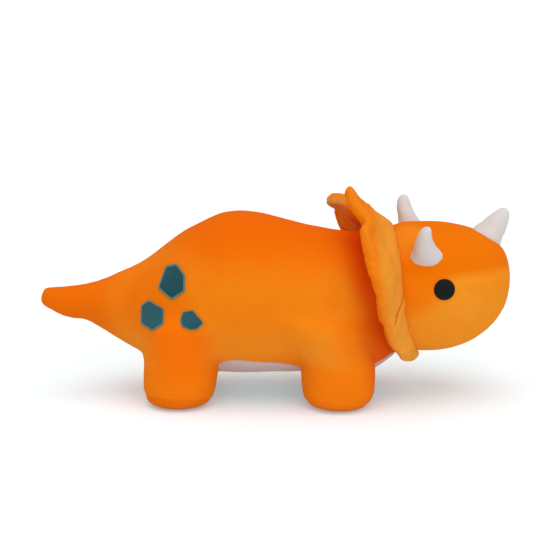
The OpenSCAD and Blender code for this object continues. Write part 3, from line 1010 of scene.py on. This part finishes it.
def horn_rows(name, inset, shares):
    """Rings of points up a horn, inset from its skin. A ring at share 0 lies on the head."""
    at, d, length, curl, full, blunt = HORNS[name]
    d = unit(np.array(d, float))
    side = unit(np.cross(d, [1.0, 0, 0]))
    ahead = np.cross(side, d)
    at = head_landing(np.array(at, float), d)
    angles = np.arange(24) * 2 * math.pi / 24
    # A brow horn's foot is narrower across the head than along it.
    narrow = 1.0 if name == "nose_horn" else 0.6

    def around(t):
        across = narrow + (1 - narrow) * min(t / 0.4, 1)
        return np.cos(angles)[:, None] * side * across + np.sin(angles)[:, None] * ahead

    foot = [head_landing(at + a * HORN_R[0, 1], d) for a in around(0)]
    drop = ((np.array(foot) - at) @ d)[:, None] * d
    rows = []
    for t in shares:
        r = np.interp(t, HORN_R[:, 0], HORN_R[:, 1])
        r *= 1 + full * math.sin(math.pi * t) + blunt * t**4
        r = max(r - inset, 0.4)
        middle = at + d * length * t + ahead * curl * (3 * t * t - 2 * t)
        # Near the foot the rings follow the slope of the head.
        rows.append(middle + around(t) * r + drop * max(1 - t / 0.3, 0) - d * (0.6 if t == 0 else 0))
    return np.array(rows)


def horns():
    """Each horn's cover and its filling."""
    for name in HORNS:
        rows = horn_rows(name, 0.0, [0, 0.05, 0.12, 0.2, 0.3, 0.42, 0.55, 0.68, 0.8, 0.89,
                                     0.95, 0.985, 1.0])
        pts, quads = subdivide(*tube_mesh(rows, False), 2)
        n = normals(pts, quads)
        pts = pts + n * (smooth_noise(pts, 9.0, 12) * 0.5)[:, None]
        ob = panel("plush_" + name, pts, quads.tolist(), 1.3, turned)
        finish(ob, WHITE, "head", [name])
        rows = horn_rows(name, 2.6, [0.1, 0.25, 0.45, 0.65, 0.8, 0.88])
        pts, quads = subdivide(*tube_mesh(rows, True), 2)
        ob = new_object(f"fibre_{name}_filling", turned(pts), quads)
        finish(ob, FIBRE, "head", [name + "_filling"])


def tube_mesh(rows, closed):
    """A skin over rings of points, with both ends closed by fans of triangles if asked."""
    count, around = rows.shape[:2]
    pts = rows.reshape(-1, 3)
    faces = [[a, d, c, b] for a, b, c, d in ring_quads(count, around)]
    turn = -1 if (normals(pts, np.array(faces)) * (pts - pts.mean(0))).sum() < 0 else 1
    faces = [f[::turn] for f in faces]
    if closed:
        for i, way in ((0, -turn), (count - 1, turn)):
            middle = len(pts)
            pts = np.vstack([pts, rows[i].mean(0)])
            for j in range(around):
                faces.append([i * around + j, i * around + (j + 1) % around, middle][::way])
    return pts, faces


# --- eyes and appliqués ---


def onto(skin, at, sign, uv, lift, out=None):
    """Lays flat points (u along the side, v up) on one side of a skin about at, each lifted off
    it. They drop on it along out, which is otherwise the skin's own direction there."""
    tree = SKINS[skin]
    origin = np.array([at[0], sign * at[1], at[2]])
    if out is None:
        out = tree.find_nearest(Vector(origin))[1]
    out = np.array(out)
    ex = unit(np.cross([0, 0, 1.0], out))
    ex = ex if ex[0] > 0 else -ex
    ey = np.cross(out, ex)
    ey = ey if ey[2] > 0 else -ey
    pts, up = [], []
    for (a, b), h in zip(uv, lift):
        start = origin + ex * a + ey * b + out * 25
        hit, n, _, _ = tree.ray_cast(Vector(start), Vector(-out))
        pts.append(np.array(hit) + np.array(n) * h)
        up.append(n)
    return np.array(pts), np.array(up)


def disc_grid(radius_of, rings, around):
    """Flat points of a disc whose edge is radius_of(angle), ring by ring, each one's share of the
    way out, and their quads."""
    uv = []
    for r in rings:
        for j in range(around):
            a = 2 * math.pi * j / around
            uv.append((radius_of(a) * r * math.cos(a), radius_of(a) * r * math.sin(a)))
    return np.array(uv), np.repeat(rings, around), ring_quads(len(rings), around)


def facing_out(pts, quads, up, around):
    """A disc's middle and its quads, turned over if need be so that they face along up."""
    quads, middle = np.array(quads), list(range(around))
    if (normals(pts, quads) * up).sum() < 0:
        quads, middle = quads[:, ::-1], middle[::-1]
    return [middle] + quads.tolist()


# An eye's radius, and where its middle is on the head: x, off the middle, and height
EYE_R = 8.8
EYE_AT = (135.2, 52.0, 102.8)


def eyes():
    """Low round domes of black stitches, whose edges go down into the skin."""
    rings = [0.02] + [i / 14 for i in range(1, 13)] + [0.93, 0.975, 1.0]
    around = 56
    for hand, sign in HANDS:
        uv, share, quads = disc_grid(lambda a: EYE_R, rings, around)
        lift = 0.5 + 1.2 * np.sqrt(np.clip(1 - share**5, 0, 1))
        lift[share > 0.99] = -0.9
        p, up = onto("head", EYE_AT, sign, uv, lift)
        faces = facing_out(p, quads, up, around)
        ob = panel(f"embroidered_eye_{hand}", p, faces, 0.5, turned)
        finish(ob, BLACK, "head", [f"eye_{hand}"])


# Each spot: its middle as x, off the middle and height, and its corners about that, along and up
SPOTS = {
    "upper": ((-84.6, 45, 108.1), [(-5.5, 13.5), (3.8, 15.5), (11.1, 5.8), (10.9, -8), (-0.2, -14.9),
                                    (-12, -5.1)]),
    "rear": ((-100.9, 42.2, 79.5), [(-3.8, 12.9), (9.5, 5.5), (10, -7.3), (0.2, -13.1), (-9.8, -7.3),
                                     (-10.2, 8)]),
    "lower": ((-68.6, 55, 78), [(1.3, 8.9), (10.6, -1.6), (6, -6.9), (0, -8.2), (-7.8, -5.1),
                                 (-9.2, 0.4), (-7.1, 7.3)]),
}
# The spots are drawn as they look from this many degrees above the side.
SPOT_VIEW = 12.0
# The stitched border begins at this share of the way from a spot's middle to its edge.
BORDER_FROM = 0.87
# Steps in a turn for a spot's outline
TURN_STEPS = 720


def polygon_radius(corners, round_off):
    """The distance to the edge of a polygon about its middle, at each angle, corners eased."""
    out = np.full(TURN_STEPS, 1e9)
    a = np.arange(TURN_STEPS) * 2 * math.pi / TURN_STEPS
    ray = np.column_stack([np.cos(a), np.sin(a)])
    for (x0, y0), (x1, y1) in zip(corners, corners[1:] + corners[:1]):
        nx, ny = y1 - y0, x0 - x1
        if nx * x0 + ny * y0 < 0:
            nx, ny = -nx, -ny
        size = math.hypot(nx, ny)
        reach = (nx * x0 + ny * y0) / size
        facing = (ray @ np.array([nx, ny])) / size
        out = np.minimum(out, np.where(facing > 1e-3, reach / np.maximum(facing, 1e-3), 1e9))
    padded = np.concatenate([out[-round_off:], out, out[:round_off]])
    window = np.hanning(2 * round_off + 1)
    return np.convolve(padded, window / window.sum(), "valid")


def spots():
    """The fabric spots, raised in the middle inside a stitched border."""
    rings = [0.02] + [i / 12 for i in range(1, 10)] + [0.81, BORDER_FROM, 0.9, 0.935, 0.97, 1.0]
    around = 120
    tilt = math.radians(SPOT_VIEW)
    for which, (at, corners) in SPOTS.items():
        edge = polygon_radius(corners, 16)

        def radius(a):
            return edge[int(a / (2 * math.pi) * TURN_STEPS) % TURN_STEPS]

        for hand, sign in HANDS:
            uv, share, quads = disc_grid(radius, rings, around)
            lift = 0.75 + 0.5 * np.sqrt(np.clip(1 - (share / BORDER_FROM) ** 4, 0, 1))
            # The stitched border is a low round bead outside a slight dip.
            border = np.clip((share - BORDER_FROM) / (1 - BORDER_FROM), 0, 1)
            bead = 0.5 * np.sqrt(np.clip(1 - (2 * border - 1) ** 2, 0, 1))
            lift = lift + bead * (share > BORDER_FROM)
            lift[share > 0.99] = -0.8
            out = (0, sign * math.cos(tilt), math.sin(tilt))
            p, up = onto("body", at, sign, uv, lift, out)
            faces = facing_out(p, quads, up, around)
            ob = panel(f"applique_{which}_{hand}", p, faces, 0.4)
            finish(ob, TEAL, "body", [f"spot_{which}_{hand}"])
            ob.data.materials.append(TEAL_STITCH)
            # The outer faces come first, then the inner ones and the rim.
            inner = 1 + rings.index(BORDER_FROM) * around
            top = len(faces)
            marks = [int(k >= 2 * top or k % top >= inner) for k in range(len(ob.data.polygons))]
            ob.data.polygons.foreach_set("material_index", marks)


# --- fillings ---


def fillings():
    """Each soft filling but the horns' and the collar's, made lumpy inside its CAD solid."""
    for name, node in frame["nodes"].items():
        if "filling" not in name or "horn" in name:
            continue
        ob = linked("fibre_" + name, node.data.copy())
        ob.data.materials.clear()
        mod = ob.modifiers.new("r", "REMESH")
        mod.mode = "VOXEL"
        mod.voxel_size = 4 * MM
        ev = ob.evaluated_get(bpy.context.evaluated_depsgraph_get())
        me = bpy.data.meshes.new_from_object(ev)
        ob.modifiers.clear()
        ob.data = me
        co = rows_of(me.vertices, "co") / MM
        lump = smooth_noise(co, 22.0, 20)
        co = co - rows_of(me.vertex_normals, "vector") * (1.6 * (1 + lump) + 1.5)[:, None]
        if name == "head_filling":
            # It stays within the head's slanted opening.
            co[:, 0] += np.maximum(6.0 - opening_field(co.T), 0)
        me.vertices.foreach_set("co", (co * MM).ravel())
        me.polygons.foreach_set("use_smooth", [True] * len(me.polygons))
        body = next(b for b, ns in frame["record"]["behaviour"]["bodies"].items() if name in ns)
        finish(ob, FIBRE, body, [name])


# --- camera and studio ---


def aim(ob, azimuth, elevation):
    """Turns a camera or light to look from that direction, and returns the way back to it."""
    a, e = math.radians(azimuth), math.radians(elevation)
    back = Vector((math.sin(a) * math.cos(e), -math.cos(a) * math.cos(e), math.sin(e)))
    ob.rotation_euler = (-back).to_track_quat("-Z", "Y").to_euler()
    return back


def sun(name, azimuth, elevation, strength, spread):
    """Light from that direction, from an even patch of sky spread degrees across."""
    data = bpy.data.lights.new(name, "SUN")
    data.energy = strength
    data.angle = math.radians(spread)
    aim(linked(name, data), azimuth, elevation)


def studio():
    """The camera, the pale floor and the soft lights."""
    cam = linked("camera", bpy.data.cameras.new("camera"))
    distance = 1.3
    target = Vector((0.0, 0.0, 0.1045))
    cam.location = target + aim(cam, 0, 12.0) * distance
    # At the toy's distance the picture is this wide.
    width = 0.468
    cam.data.sensor_width = 36
    cam.data.lens = 36 * distance / width
    scene.camera = cam

    world = bpy.data.worlds.new("studio")
    scene.world = world
    world.use_nodes = True
    sky = world.node_tree.nodes["Background"].inputs
    sky["Color"].default_value = (1, 1, 1, 1)
    sky["Strength"].default_value = 0.62

    corners = np.array([(-12, -6, 0), (12, -6, 0), (12, 40, 0), (-12, 40, 0)])
    floor = new_object("studio_floor", corners / MM, [(0, 1, 2, 3)])
    f = Nodes("studio_floor")
    paper = f.ramp(f.noise(3.0), [(0, (0.765, 0.745, 0.745)), (1, (0.775, 0.755, 0.755))])
    # Its faint glow keeps the shadows soft and free of the toy's own colour.
    f.surface({"Base Color": paper, "Roughness": 0.9, "Specular IOR Level": 0.0,
               "Emission Color": (0.54, 0.88, 0.96, 1), "Emission Strength": 0.27})
    floor.data.materials.append(f.mat)
    sun("overhead", 10, 78, 1.35, 60)
    sun("front", 12, 28, 0.65, 50)
    scene.view_settings.view_transform = "Standard"
    scene.view_settings.look = "None"


body_panels()
head_panels()
frill_pieces()
horns()
eyes()
spots()
fillings()
studio()
